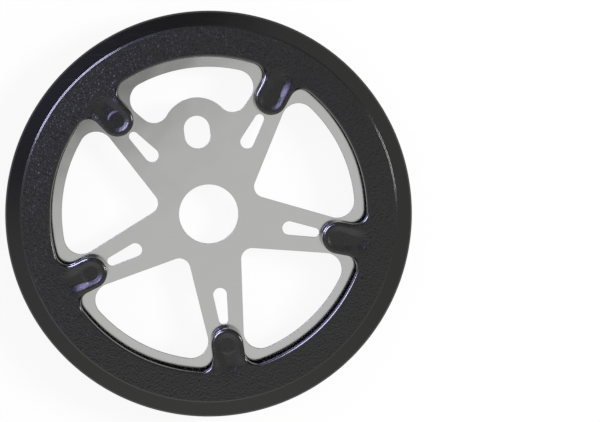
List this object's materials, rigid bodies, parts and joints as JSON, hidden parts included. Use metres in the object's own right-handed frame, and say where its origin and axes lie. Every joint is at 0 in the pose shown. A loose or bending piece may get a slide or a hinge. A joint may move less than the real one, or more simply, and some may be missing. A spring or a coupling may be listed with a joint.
{
  "type": "guarded bicycle chainwheel",
  "caption": "Toothed plated steel bicycle chainwheel with open arms, a crank bore and a drive-pin slot, clamped between front and rear plastic chain guard rings by screws.",
  "frame": {"origin": "centre of the crank bore, in the plane of the chainwheel's front face", "axes": "+Z along the crank axis, outwards from the bicycle; +Y nearly along the drive-pin slot; the part lies on its rear ring"},
  "size_m": [0.1629, 0.163, 0.018],
  "materials": {
    "chrome_plate": "bright decorative chrome over stamped steel",
    "guard_plastic": "black moulding, fine grain outside and glossy inside",
    "zinc_steel": "bright zinc"
  },
  "bodies": {
    "root": {"chainwheel": "chrome_plate", "front_guard_ring": "guard_plastic", "rear_guard_ring": "guard_plastic", "guard_screws": "zinc_steel"}
  },
  "joints": []
}
